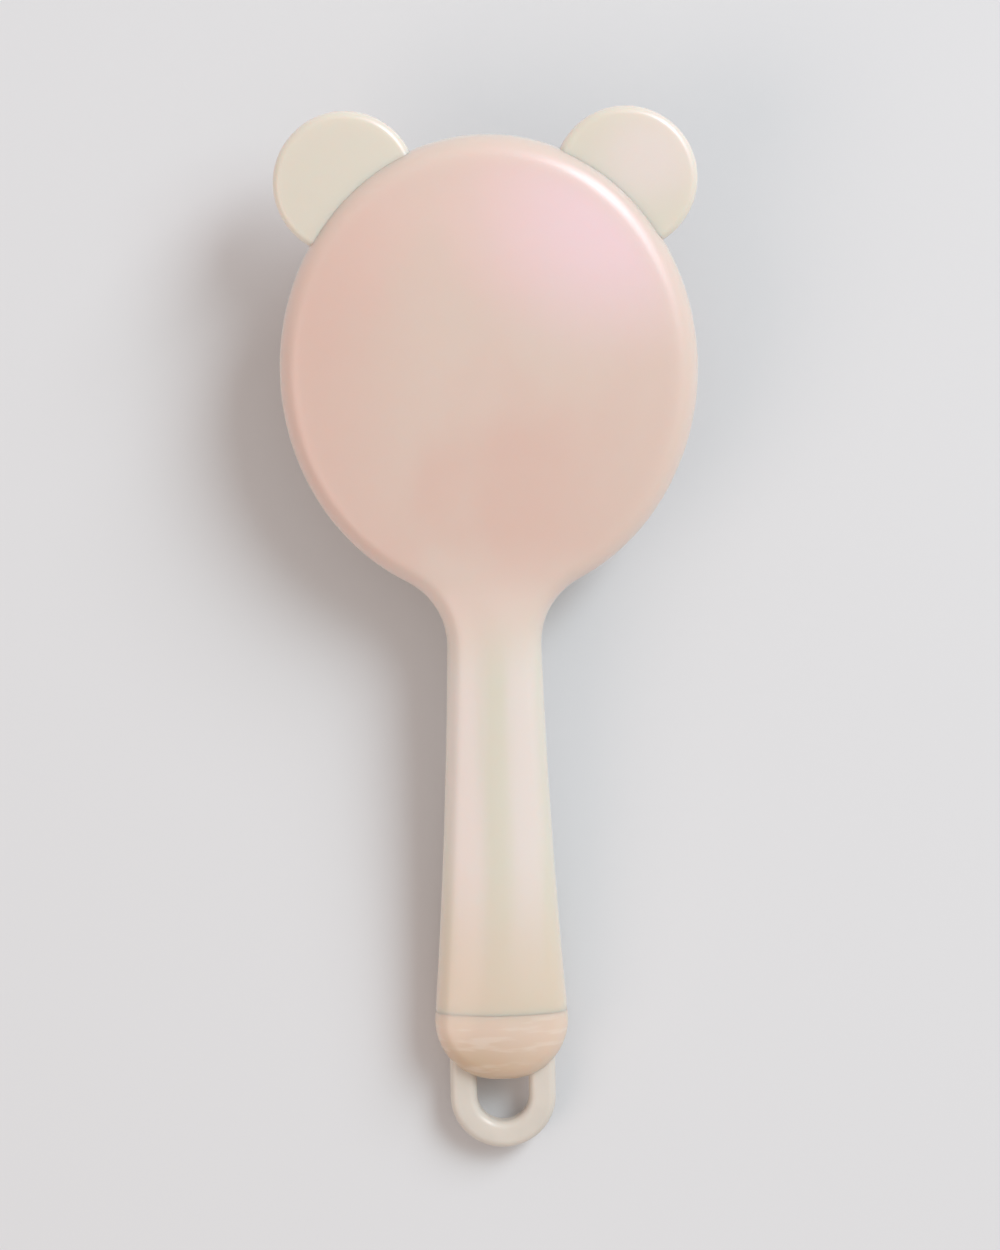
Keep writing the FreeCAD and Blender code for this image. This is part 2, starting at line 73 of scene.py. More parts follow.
def level_to_table():
    """The placement that lays the level brush down, read from the cushion's travel and the dowel's place."""
    travel = next(joint for joint in frame["joints"] if joint["name"] == "cushion_press")
    lean = math.atan2(-travel["axis"][1], travel["axis"][2])
    turn = Matrix.Rotation(lean, 4, "X")
    low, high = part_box("loop_dowel")
    dowel = (Vector(low) + Vector(high)) / 2
    shift = dowel - turn @ Vector((0, DOWEL_Y * MM, 0))
    return Matrix.Translation(shift) @ turn, lean


LAID, LEAN = level_to_table()


def length(name, text, default, low=0.0, high=0.5):
    """A size property in metres, its default given in millimetres."""
    return bpy.props.FloatProperty(
        name=name, description=text, default=default * MM, min=low, max=high, subtype="DISTANCE", unit="LENGTH"
    )


def linear(code):
    """An sRGB hex colour as linear red, green, blue and alpha."""
    values = [int(code[i : i + 2], 16) / 255 for i in (1, 3, 5)]
    return tuple(v / 12.92 if v <= 0.04045 else ((v + 0.055) / 1.055) ** 2.4 for v in values) + (1.0,)


def colour(name, text, code):
    """A colour property, its default given as an sRGB hex code."""
    return bpy.props.FloatVectorProperty(
        name=name, description=text, default=linear(code), size=4, min=0.0, max=1.0, subtype="COLOR"
    )


class BrushSizes(bpy.types.PropertyGroup):
    """Sizes of the brush, in its own level frame."""

    head_width: length("Head width", "Width of the oval head", 82.4)
    head_length: length("Head length", "Length of the oval head", 91.9)
    neck_fillet: length("Neck fillet", "Radius of the hollow curve from head to handle", 14.5)
    neck_place: length("Neck place", "Distance from the head's middle to the neck", 60.6)
    neck_width: length("Neck width", "Width of the handle at the neck", 19.0)
    grip_place: length("Grip place", "Distance from the head's middle to the middle of the grip", 95.0)
    grip_width: length("Grip width", "Width of the handle at the middle of the grip", 21.9)
    seam_place: length("Seam place", "Distance from the head's middle to the seam of the end cap", 128.6)
    seam_width: length("Seam width", "Width of the handle at the seam", 26.4)
    cap_length: length("Cap length", "Length of the domed end cap", 14.2)
    cap_corner: length("Cap corner", "Radius of the end cap's corners seen from above", 12.1)
    back_crown: length("Back crown", "Height of the back over the parting line", 8.2)
    back_edge: length("Back edge", "Height of the back's edge before it is rounded", 5.0)
    back_round: length("Back rounding", "Radius of the back's rounded shoulder", 4.7)
    front_face: length("Front face", "Depth of the front face under the parting line", 6.5)
    front_round: length("Front rounding", "Radius of the front's rounded edge", 4.0)
    neck_depth: length("Neck half thickness", "Half the thickness of the neck", 7.2)
    neck_edge: length("Neck edge", "Height of the neck's edge before it is rounded", 5.0)
    end_depth: length("End half thickness", "Half the thickness at the end of the handle", 9.0)
    end_edge: length("End edge", "Height of the edge at the end of the handle", 5.4)
    cap_tip: length("Cap tip height", "Half the thickness at the cap's tip before it is rounded", 5.8)
    ear_radius: length("Ear radius", "Radius of an ear", 14.1)
    ear_side: length("Ear side distance", "Distance of an ear's middle from the middle line", 27.5)
    ear_reach: length("Ear forward distance", "Distance of an ear's middle ahead of the head's middle", 36.9)
    ear_top: length("Ear top", "Height of an ear's top over the parting line", 2.6)
    ear_thickness: length("Ear thickness", "Thickness of an ear", 5.2)
    ear_round: length("Ear rounding", "Radius of an ear's edges", 1.5)
    loop_width: length("Loop width", "Width of the hanging loop", 21.2)
    loop_hole: length("Loop hole", "Width of the hole in the loop", 10.4)
    loop_thickness: length("Loop thickness", "Thickness of the loop", 5.0)
    loop_round: length("Loop rounding", "Radius of the loop's edges", 1.6)
    loop_place: length("Loop place", "Distance from the head's middle to the middle of the loop's bend", 146.6)
    loop_root: length("Loop root", "Distance from the head's middle to the loop's root inside the cap", 135.9)
    recess_width: length("Recess width", "Width of the oval recess that holds the cushion", 73.2)
    recess_floor: length("Recess floor", "Depth of the recess's floor under the parting line", 3.4)
    recess_lead: length("Recess lead-in", "Width of the small slope round the recess's mouth", 0.35)
    pad_bead_width: length("Bead width", "Width of the cushion over its bead", 72.0)
    pad_bead_height: length("Bead height", "Height of the cushion's bead", 1.1)
    pad_wall_width: length("Pad wall width", "Width of the cushion where it passes the ring", 66.4)
    pad_shoulder_width: length("Pad shoulder width", "Width of the cushion at its rounded shoulder", 61.2)
    pad_top: length("Pad top", "Depth of the bead's top under the parting line", 3.6)
    pad_wall_end: length("Pad wall end", "Depth at which the cushion's wall starts to turn in", 7.6)
    pad_shoulder_end: length("Pad shoulder end", "Depth at which the dome starts", 9.3)
    pad_crown: length("Pad crown", "Depth of the middle of the dome", 11.0)
    ring_width: length("Ring width", "Outer width of the ring that holds the cushion", 73.0)
    ring_hole: length("Ring hole", "Width of the ring's hole", 68.4)
    ring_top: length("Ring top", "Depth of the ring's hidden side", 4.8)
    ring_face: length("Ring face", "Depth of the ring's visible face", 6.7)
    ring_round: length("Ring rounding", "Radius of the ring's edges", 0.5)
    pin_spacing: length("Pin spacing", "Distance from one ring of pins to the next", 5.7)
    pin_length: length("Pin length", "Length of a pin outside the cushion", 13.0)
    pin_collar: length("Pin collar", "Thickness of the soft collar at a pin's foot", 2.1)
    pin_root: length("Pin root", "Thickness of a pin above its collar", 1.3)
    pin_tip: length("Pin neck", "Thickness of a pin under its ball", 0.9)
    pin_ball: length("Pin ball", "Diameter of the ball on a pin", 1.9)
    pin_lean: bpy.props.FloatProperty(
        name="Pin lean",
        description="How much further each ring of pins leans outwards than the one inside it",
        default=math.radians(1.6),
        min=0.0,
        max=math.radians(5),
        subtype="ANGLE",
        unit="ROTATION",
    )


class BrushColours(bpy.types.PropertyGroup):
    """Colours of the brush and the table."""

    pink: colour("Pink", "Pearl plastic over the middle of the back", "#dac8ba")
    # Petal also turns the left side of the back darker and pinker in a smooth tone.
    petal: colour("Petal", "Pinker clouds in the lower back and down its left side", "#d9bcad")
    bloom: colour("Bloom", "Pinker clouds in the upper back", "#e4c9bd")
    # Painted sheen: a lilac patch on the upper right of the back that stands in for the broad reflection of the
    # light.
    painted_sheen_lilac: colour("Lilac", "Drift of mica on the upper right of the back", "#e9cfd0")
    rim: colour("Rim", "Pearl plastic at the head's rim", "#e0cfc2")
    # Painted glow: a lighter tone along the thin edge, and the cap's bright streaks, painted light that stands in
    # for light shining through and glinting.
    edge: colour("Edge", "Thin edge that light shines through", "#ece2d8")
    cream: colour("Cream", "Pearl plastic at the ears and the handle", "#d9d6c5")
    # Painted sheen: the warm tone in the handle's bands and on the right ear stands in for reflected light.
    painted_sheen: colour("Blossom", "Warm lustre in the handle's bands and on the right ear", "#e2dad2")
    sand: colour("Sand", "Pearl plastic towards the end of the handle", "#dacdb8")
    peach: colour("Peach", "Plastic of the end cap at its seam", "#e0cbba")
    # Partly painted shade: the cap's own amber, deepened where the dome turns away from the light.
    amber: colour("Amber", "Plastic of the end cap at its tip", "#c6ac8e")
    loop: colour("Loop", "Plastic of the hanging loop", "#d5cdc3")
    rubber: colour("Rubber", "Soft cushion", "#e2b8ae")
    nylon: colour("Nylon", "Bristle pins", "#efe6dc")
    table: colour("Table", "Table top", "#d8d8da")


def sizes():
    """The brush's sizes in the open scene."""
    return bpy.context.scene.brush_sizes


def colours():
    """The brush's colours in the open scene."""
    return bpy.context.scene.brush_colours


def ease(t):
    """Smooth step from 0 to 1."""
    t = min(1.0, max(0.0, t))
    return t * t * (3 - 2 * t)


def between(y, start, end, at_start, at_end):
    """A value that changes smoothly from at_start to at_end as y goes from start to end."""
    return at_start + (at_end - at_start) * ease((y - start) / (end - start))


def circle_through(a, b, c):
    """Centre and radius of the circle through three points."""
    d = 2 * (a.x * (b.y - c.y) + b.x * (c.y - a.y) + c.x * (a.y - b.y))
    aa, bb, cc = a.length_squared, b.length_squared, c.length_squared
    x = (aa * (b.y - c.y) + bb * (c.y - a.y) + cc * (a.y - b.y)) / d
    y = (aa * (c.x - b.x) + bb * (a.x - c.x) + cc * (b.x - a.x)) / d
    centre = Vector((x, y))
    return centre, (a - centre).length


class Body:
    """The brush's outline seen from above, and the height of its two faces over it, in metres."""

    def __init__(self):
        s = sizes()
        self.s = s
        self.half_width = s.head_width / 2
        self.half_length = s.head_length / 2
        self.seam = -s.seam_place
        self.tip = -s.seam_place - s.cap_length
        self.neck = -s.neck_place
        self.right = self.right_side()
        self.rows = [(p.y, p.x) for p, _ in reversed(self.right)]

    def right_side(self):
        """Points and outward normals down the right side, from the top of the head to the tip of the cap."""
        s, a, b, fillet = self.s, self.half_width, self.half_length, self.s.neck_fillet
        side, radius = circle_through(
            Vector((s.neck_width / 2, self.neck)),
            Vector((s.grip_width / 2, -s.grip_place)),
            Vector((s.seam_width / 2, self.seam)),
        )

        def oval(turn):
            """A point on the oval head and its outward normal."""
            point = Vector((a * math.sin(turn), b * math.cos(turn)))
            normal = Vector((math.sin(turn) / a, math.cos(turn) / b)).normalized()
            return point, normal

        oval_steps, hollow_steps, side_steps, corner_steps = 86, 14, 44, 22
        # The turn at which the oval meets the hollow curve is found by halving.
        low, high = math.radians(120), math.radians(175)
        for _ in range(60):
            middle = (low + high) / 2
            point, normal = oval(middle)
            if (point + normal * fillet - side).length < radius - fillet:
                low = middle
            else:
                high = middle
        last = middle
        point, normal = oval(last)
        hollow = point + normal * fillet
        out = [oval(last * i / oval_steps) for i in range(oval_steps)]
        touch = (hollow - side).normalized()
        start = math.atan2(point.y - hollow.y, point.x - hollow.x) % (2 * math.pi)
        end = math.atan2(touch.y, touch.x) % (2 * math.pi)
        for i in range(hollow_steps):
            turn = start + (end - start) * i / hollow_steps
            ray = Vector((math.cos(turn), math.sin(turn)))
            out.append((hollow + ray * fillet, -ray))
        corner_y = self.tip + s.cap_corner
        corner_x = side.x - math.sqrt((radius + s.cap_corner) ** 2 - (corner_y - side.y) ** 2)
        corner = Vector((corner_x, corner_y))
        first = math.atan2(touch.y, touch.x) % (2 * math.pi)
        final = math.atan2(corner.y - side.y, corner.x - side.x) % (2 * math.pi)
        for i in range(side_steps):
            turn = first + (final - first) * i / side_steps
            ray = Vector((math.cos(turn), math.sin(turn)))
            out.append((side + ray * radius, -ray))
        first = math.atan2(side.y - corner.y, side.x - corner.x)
        for i in range(corner_steps + 1):
            turn = first + (-math.pi / 2 - first) * i / corner_steps
            ray = Vector((math.cos(turn), math.sin(turn)))
            out.append((corner + ray * s.cap_corner, ray))
        out.append((Vector((0, self.tip)), Vector((0, -1))))
        return out

    def outline(self):
        """Points and outward normals all round, clockwise from the top of the head."""
        left = [(Vector((-p.x, p.y)), Vector((-n.x, n.y))) for p, n in reversed(self.right[1:-1])]
        return self.right + left

    def width(self, y):
        """Half the outline's width at y, between the middle of the head and the seam."""
        y = max(self.seam, min(0.0, y))
        for (y0, x0), (y1, x1) in zip(self.rows, self.rows[1:]):
            if y0 <= y <= y1 and y1 > y0:
                return x0 + (x1 - x0) * (y - y0) / (y1 - y0)
        return self.half_width

    def handle_spine(self, y):
        """Half the handle's thickness, and the fall of the cap towards its tip."""
        s = self.s
        swell_end = self.seam + s.cap_length * 0.4  # the handle is thickest a little ahead of its seam
        if y > swell_end:
            return between(y, self.neck, swell_end, s.neck_depth, s.end_depth)
        return s.end_depth - (s.end_depth - s.cap_tip) * ((swell_end - y) / (swell_end - self.tip)) ** 2

    def spine(self, y, back):
        """Height of one face along the middle of the brush."""
        s = self.s
        if y <= self.neck:
            return self.handle_spine(y)
        if not back:
            return between(y, -self.half_length + 2 * MM, self.neck, s.front_face, s.neck_depth)
        if y > 0:
            return s.back_crown - (s.back_crown - s.back_edge) * (y / self.half_length) ** 2
        return between(y, 0, self.neck, s.back_crown, s.neck_depth)

    def edge(self, y, head_edge):
        """Height of the outline's edge before it is rounded."""
        s = self.s
        if y > self.neck:
            head_end = -self.half_length * 0.7
            return between(y, head_end, self.neck, head_edge, s.neck_edge)
        return between(y, self.neck, self.seam, s.neck_edge, s.end_edge)

    def face(self, x, y, back):
        """Height of one face at a point, before its rim is rounded."""
        head_edge = self.s.back_edge if back else self.s.front_face
        top = self.spine(y, back)
        edge = self.edge(y, head_edge)
        if y > 0:
            edge = top - self.spine(0, back) + head_edge
        share = abs(x) / self.width(y)
        fall = share * share if share <= 1 else 2 - math.exp(2 - 2 * share)
        return top - fall * (top - edge)


def new_object(name):
    """The object that an operator has just added, renamed."""
    obj = bpy.context.active_object
    obj.name = name
    obj.data.name = name
    return obj


def clear_selection():
    """Nothing selected, in object mode."""
    if bpy.context.active_object and bpy.context.active_object.mode != "OBJECT":
        bpy.ops.object.mode_set(mode="OBJECT")
    bpy.ops.object.select_all(action="DESELECT")


def pick(obj):
    """Only this object selected and active."""
    clear_selection()
    obj.select_set(True)
    bpy.context.view_layer.objects.active = obj


def place_ring(obj, points):
    """Moves the selected vertices, taken in order of their index, to the points."""
    mesh = bmesh.from_edit_mesh(obj.data)
    mesh.verts.ensure_lookup_table()
    chosen = [v for v in mesh.verts if v.select]
    for vertex, point in zip(chosen, points):
        vertex.co = point
    bmesh.update_edit_mesh(obj.data)


def fill_across(obj, first, count, height):
    """Fills a ring of vertices with rows that run straight across from its right side to its left."""
    mesh = bmesh.from_edit_mesh(obj.data)
    mesh.verts.ensure_lookup_table()
    ring = [mesh.verts[first + i] for i in range(count)]
    half, columns = count // 2, 12
    rows = []
    for i in range(1, half):
        right, left = ring[i], ring[count - i]
        row = [right]
        for j in range(1, columns):
            spot = right.co.lerp(left.co, j / columns)
            row.append(mesh.verts.new((spot.x, spot.y, height(spot.x, spot.y))))
        rows.append(row + [left])
    for row, following in zip(rows, rows[1:]):
        for j in range(columns):
            mesh.faces.new((row[j], row[j + 1], following[j + 1], following[j]))
    for tip, row in ((ring[0], rows[0]), (ring[half], rows[-1])):
        for j in range(columns):
            mesh.faces.new((tip, row[j], row[j + 1]))
    bmesh.update_edit_mesh(obj.data)


def half_body(body, name, back, rounding):
    """One half of head, handle and cap as a closed form: rings rise round the rim, and a grid fills the face."""
    outline = body.outline()
    steps = 9
    sign = 1 if back else -1
    gap, groove = 0.02 * MM, 0.14 * MM  # half the parting gap, and the depth of the fine line round it
    wall, probe, band = 2.0 * MM, 0.4 * MM, 0.8 * MM  # the parting face's width, and steps in from the shoulder
    rims = [[] for _ in range(steps + 5)]
    for point, normal in outline:
        lean = 0.0
        for _ in range(3):
            inset = rounding * (1 - math.sin(lean))
            touch = point - normal * inset
            further = point - normal * (inset + probe)
            rise = body.face(further.x, further.y, back) - body.face(touch.x, touch.y, back)
            lean = math.atan2(rise, probe)
        centre = body.face(touch.x, touch.y, back) - rounding * math.cos(lean)
        rims[0].append(Vector((*(point - normal * wall), sign * gap)))
        rims[1].append(Vector((*(point - normal * groove), sign * gap)))
        rims[2].append(Vector((*point, sign * (gap + groove))))
        for k in range(steps + 1):
            turn = (math.pi / 2 - lean) * k / steps
            spot = point - normal * rounding * (1 - math.cos(turn))
            rims[3 + k].append(Vector((*spot, sign * (centre + rounding * math.sin(turn)))))
        inner = point - normal * (inset + band)
        rims[4 + steps].append(Vector((*inner, sign * body.face(inner.x, inner.y, back))))
    clear_selection()
    bpy.ops.mesh.primitive_circle_add(vertices=len(outline), radius=body.half_width)
    obj = new_object(name)
    bpy.ops.object.mode_set(mode="EDIT")
    bpy.ops.mesh.select_all(action="SELECT")
    place_ring(obj, rims[0])
    for ring in rims[1:]:
        bpy.ops.mesh.extrude_region_move()
        place_ring(obj, ring)
    count = len(outline)
    fill_across(obj, count * (len(rims) - 1), count, lambda x, y: sign * body.face(x, y, back))
    fill_across(obj, 0, count, lambda x, y: sign * gap)
    bpy.ops.mesh.select_all(action="SELECT")
    bpy.ops.mesh.normals_make_consistent(inside=False)
    bpy.ops.object.mode_set(mode="OBJECT")
    return obj


def keep_side(obj, y, towards_loop):
    """Cuts the form across at y, closes the cut and keeps one side of it."""
    pick(obj)
    bpy.ops.object.mode_set(mode="EDIT")
    bpy.ops.mesh.select_all(action="SELECT")
    bpy.ops.mesh.bisect(
        plane_co=(0, y, 0),
        plane_no=(0, 1, 0),
        use_fill=True,
        clear_inner=not towards_loop,
        clear_outer=towards_loop,
        threshold=1e-6,
    )
    bpy.ops.mesh.select_all(action="SELECT")
    bpy.ops.mesh.normals_make_consistent(inside=False)
    bpy.ops.object.mode_set(mode="OBJECT")


def apply_modifier(obj, kind, **settings):
    """Adds a modifier with its settings and applies it."""
    pick(obj)
    bpy.ops.object.modifier_add(type=kind)
    modifier = obj.modifiers[-1]
    for key, value in settings.items():
        setattr(modifier, key, value)
    bpy.ops.object.modifier_apply(modifier=modifier.name)


def finish_piece(obj, material, body, nodes, angle=35):
    """Lays a piece down from the level frame, smooths it, and says what it is to the frame."""
    obj.data.transform(LAID)
    pick(obj)
    bpy.ops.object.shade_smooth_by_angle(angle=math.radians(angle))
    clear_selection()
    obj.data.materials.clear()
    obj.data.materials.append(material)
    if body:
        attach(obj, body)
    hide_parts(*nodes)
    return obj


def spun(name, profile, steps=144):
    """A form turned from a half profile of (radius, height) points, drawn as a line and spun about the middle."""
    clear_selection()
    bpy.ops.mesh.primitive_circle_add(vertices=max(3, len(profile)), radius=MM)
    obj = new_object(name)
    bpy.ops.object.mode_set(mode="EDIT")
    mesh = bmesh.from_edit_mesh(obj.data)
    mesh.verts.ensure_lookup_table()
    for vertex, (radius, height) in zip(mesh.verts, profile):
        vertex.co = (radius, 0, height)
    closing = [e for e in mesh.edges if {v.index for v in e.verts} == {0, len(profile) - 1}]
    bmesh.ops.delete(mesh, geom=closing, context="EDGES")
    bmesh.update_edit_mesh(obj.data)
    bpy.ops.mesh.select_all(action="SELECT")
    bpy.ops.mesh.spin(steps=steps, angle=2 * math.pi, center=(0, 0, 0), axis=(0, 0, 1))
    bpy.ops.mesh.select_all(action="SELECT")
    bpy.ops.mesh.remove_doubles(threshold=0.003 * MM)
    bpy.ops.mesh.normals_make_consistent(inside=False)
    bpy.ops.object.mode_set(mode="OBJECT")
    return obj


def stretch_to_oval(obj):
    """Makes a turned form oval like the head."""
    stretch = sizes().head_length / sizes().head_width
    obj.data.transform(Matrix.Diagonal((1, stretch, 1, 1)))


def rounded(points, radius, steps=5):
    """The half profile with its corners turned into arcs, all but the two ends."""
    out = [Vector(points[0])]
    for before, here, after in zip(points, points[1:], points[2:]):
        here, back, on = Vector(here), Vector(before), Vector(after)
        size = min(radius, (back - here).length * 0.45, (on - here).length * 0.45)
        a, b = here + (back - here).normalized() * size, here + (on - here).normalized() * size
        for i in range(steps + 1):
            t = i / steps
            out.append(a * (1 - t) ** 2 + here * 2 * t * (1 - t) + b * t * t)
    out.append(Vector(points[-1]))
    return [(p.x, p.y) for p in out]


def add(tree, kind, settings):
    """Adds a node. A setting is a property, a socket's plain value, or the output that feeds the socket."""
    node = tree.nodes.new(kind)
    for key, value in settings.items():
        if isinstance(value, bpy.types.NodeSocket):
            tree.links.new(value, node.inputs[key])
        elif isinstance(key, str) and hasattr(node, key):
            setattr(node, key, value)
        else:
            node.inputs[key].default_value = value
    return node


def new_material(name):
    """An empty node material and its tree."""
    material = bpy.data.materials.new(name)
    material.use_nodes = True
    material.node_tree.nodes.clear()
    return material, material.node_tree


def level_coordinates(tree):
    """Object coordinates turned back into the level brush, in millimetres."""
    back = LAID.inverted()
    place = add(tree, "ShaderNodeTexCoord", {})
    turned = add(
        tree,
        "ShaderNodeMapping",
        {
            "Vector": place.outputs["Object"],
            "Rotation": (-LEAN, 0, 0),
            "Location": tuple(v * 1000 for v in back.translation),
            "Scale": (1000,) * 3,
        },
    )
    return turned.outputs["Vector"]


def distance_from(tree, where, middle, half_axes):
    """How far a point lies from a middle, counted in half axes, seen from above."""
    moved = add(tree, "ShaderNodeVectorMath", {"operation": "SUBTRACT", 0: where, 1: (*middle, 0)})
    scaled = add(tree, "ShaderNodeVectorMath", {"operation": "DIVIDE", 0: moved.outputs[0], 1: (*half_axes, 1000)})
    return add(tree, "ShaderNodeVectorMath", {"operation": "LENGTH", 0: scaled.outputs[0]}).outputs["Value"]


def clouds(tree, where, grain, along=1.0, detail=3.0):
    """Soft clouds with a grain in millimetres across the brush; along divides it down the brush's length."""
    drawn = add(tree, "ShaderNodeVectorMath", {"operation": "MULTIPLY", 0: where, 1: (1, along, 1)})
    noise = add(tree, "ShaderNodeTexNoise", {"Vector": drawn.outputs[0], "Scale": 1 / grain, "Detail": detail})
    return noise.outputs["Fac"]


def pearl_plastic(name, blushed):
    """Pearl ABS, moulded and polished, cream along the ears and the handle and sand at the handle's end.

    The eye sees a milky body with a soft gloss and mica drawn out along the flow of the mould. A thin rim is
    painted lighter, a painted glow that stands in for light shining through it. On the handle the mica sways bands
    of painted sheen, and the right ear takes the same painted sheen; both stand in for reflected light. Where it is
    blushed, the head is pink inside a cream rim, with a lilac patch of painted sheen on the upper right, a painted
    reflection of the light."""
    material, tree = new_material(name)
    s, c = sizes(), colours()
    where = level_coordinates(tree)
    axes = add(tree, "ShaderNodeSeparateXYZ", {"Vector": where}).outputs
    seam, half_width, half_length = s.seam_place * 1000, s.head_width * 500, s.head_length * 500

    # Mica streaks on the handle, 6 mm across and 50 mm long, sway a band of painted sheen every 11.6 mm, a warm
    # lighter tone that stands in for the light's reflection along the handle.
    # Real flakes are under 0.1 mm and can't be seen one by one, so only their drifts are drawn.
    streak = clouds(tree, where, 6.25, 0.12)
    sway = add(tree, "ShaderNodeMath", {"operation": "MULTIPLY_ADD", 0: streak, 1: 5.0, 2: axes["X"]}).outputs[0]
    turn = add(tree, "ShaderNodeMath", {"operation": "MULTIPLY_ADD", 0: sway, 1: 0.54, 2: -1.35}).outputs[0]
    wave = add(tree, "ShaderNodeMath", {"operation": "COSINE", 0: turn}).outputs[0]
    height = add(tree, "ShaderNodeMath", {"operation": "ABSOLUTE", 0: axes["Z"]}).outputs[0]
    # Painted sheen: the right ear is painted warmer near its middle, standing in for the light's reflection; the
    # left ear stays cream.
    ear = distance_from(tree, where, (32.0, 41.0), (14.0, 13.0))
    head = distance_from(tree, where, (-1.4, -1.6), (half_width, half_length))
    # Painted sheen: the lilac patch on the upper right of the back, a painted reflection of the light.
    painted_sheen_patch = distance_from(tree, where, (24.0, 29.0), (36.0, 32.0))

    # What each share follows, where it starts and where it ends, and its value at those two places. Places
    # on an axis are in millimetres, and distances from a middle are in half axes.
    spans = {
        "band": (wave, 0.9, -0.9, 0.05, 0.95),
        "ear": (ear, 0.15, 1.0, 0.95, 0.1),
        "handle": (axes["Y"], -42.0, -66.0, 0.0, 1.0),
        "sand": (axes["Y"], -seam * 0.72, -seam, 0.0, 1.0),
    }
    if blushed:
        spans |= {
            "rim": (axes["Y"], -62.0, -44.0, 0.0, 1.0),
            "face": (head, 0.86, 1.05, 1.0, 0.0),
            "neck": (axes["Y"], -50.0, -31.0, 0.0, 1.0),
            "upper": (axes["Y"], -12.0, 34.0, 0.0, 1.0),
            "cloud": (clouds(tree, where, 33.333, 0.7, 2.0), 0.38, 0.62, 0.0, 0.85),
            # The pink clouds fade towards the right side, and the pink turns darker towards the left side.
            "middle": (axes["X"], 6.0, 32.0, 1.0, 0.35),
            "left": (axes["X"], -8.0, -36.0, 0.0, 0.75),
            "painted_sheen_patch": (painted_sheen_patch, 0.1, 1.0, 1.0, 0.0),
        }
    share = {}
    for key, (source, low, high, at_low, at_high) in spans.items():
        limits = {"From Min": low, "From Max": high, "To Min": at_low, "To Max": at_high}
        smooth = {"interpolation_type": "SMOOTHSTEP", "Value": source, **limits}
        share[key] = add(tree, "ShaderNodeMapRange", smooth).outputs["Result"]

    # The cream takes the painted sheen in the handle's bands and on the right ear.
    tint = add(tree, "ShaderNodeMix", {"data_type": "FLOAT", 0: share["handle"], 2: share["ear"], 3: share["band"]})
    cream = add(tree, "ShaderNodeMix", {"data_type": "RGBA", 0: tint.outputs[0], 6: c.cream, 7: c.painted_sheen})
    base = add(tree, "ShaderNodeMix", {"data_type": "RGBA", 0: share["sand"], 6: cream.outputs[2], 7: c.sand})
    if blushed:
        rim = add(tree, "ShaderNodeMix", {"data_type": "RGBA", 0: share["rim"], 6: base.outputs[2], 7: c.rim})
        petal = add(tree, "ShaderNodeMix", {"data_type": "RGBA", 0: share["upper"], 6: c.petal, 7: c.bloom})
        pinker = add(tree, "ShaderNodeMath", {"operation": "MULTIPLY", 0: share["cloud"], 1: share["middle"]})
        pink = add(
            tree, "ShaderNodeMix", {"data_type": "RGBA", 0: pinker.outputs[0], 6: c.pink, 7: petal.outputs[2]}
        )
        pink = add(tree, "ShaderNodeMix", {"data_type": "RGBA", 0: share["left"], 6: pink.outputs[2], 7: c.petal})
        pink = add(tree, "ShaderNodeMix", {"data_type": "RGBA", 0: share["painted_sheen_patch"], 6: pink.outputs[2], 7: c.painted_sheen_lilac})
        blush = add(tree, "ShaderNodeMath", {"operation": "MULTIPLY", 0: share["face"], 1: share["neck"]})
        base = add(
            tree,
            "ShaderNodeMix",
            {"data_type": "RGBA", 0: blush.outputs[0], 6: rim.outputs[2], 7: pink.outputs[2]},
        )

    # A painted glow along the parting line stands in for light that shines through the thin edge and bounces up
    # from the table. It is 3 mm high round the head and nearly twice that on the handle.
    thin = add(tree, "ShaderNodeMath", {"operation": "MULTIPLY_ADD", 0: share["handle"], 1: -0.45, 2: 1.0})
    thin = add(tree, "ShaderNodeMath", {"operation": "MULTIPLY", 0: height, 1: thin.outputs[0]})
    painted_glow = add(
        tree,
        "ShaderNodeMapRange",
        {
            "interpolation_type": "SMOOTHSTEP",
            "Value": thin.outputs[0],
            "From Min": 0.5,
            "From Max": 3.0,
            "To Min": 0.85,
            "To Max": 0.0,
        },
    )
    base = add(tree, "ShaderNodeMix", {"data_type": "RGBA", 0: painted_glow.outputs[0], 6: base.outputs[2], 7: c.edge})

    # Polishing leaves a haze finer than a tenth of a millimetre. It is drawn 1.1 mm coarse, so that it shows.
    haze = clouds(tree, where, 1.1111, 0.4, 4.0)
    gloss = add(
        tree,
        "ShaderNodeMapRange",
        {"Value": haze, "From Min": 0.3, "From Max": 0.7, "To Min": 0.42, "To Max": 0.50},
    )
    surface = add(
        tree,
        "ShaderNodeBsdfPrincipled",
        {
            "Base Color": base.outputs[2],
            "Roughness": gloss.outputs["Result"],
            "Subsurface Weight": 0.6,
            "Subsurface Radius": (1.0, 0.6, 0.5),
            "Subsurface Scale": 0.005,
            "IOR": 1.5,
            "Specular IOR Level": 0.85,
            "Specular Tint": linear("#ffd2f2"),
            "Coat Weight": 0.8,
            "Coat Roughness": 0.26,
            "Sheen Weight": 0.12,
            "Sheen Roughness": 0.35,
            "Sheen Tint": linear("#fff0ea"),
        },
    )
    add(tree, "ShaderNodeOutputMaterial", {"Surface": surface.outputs["BSDF"]})
    return material


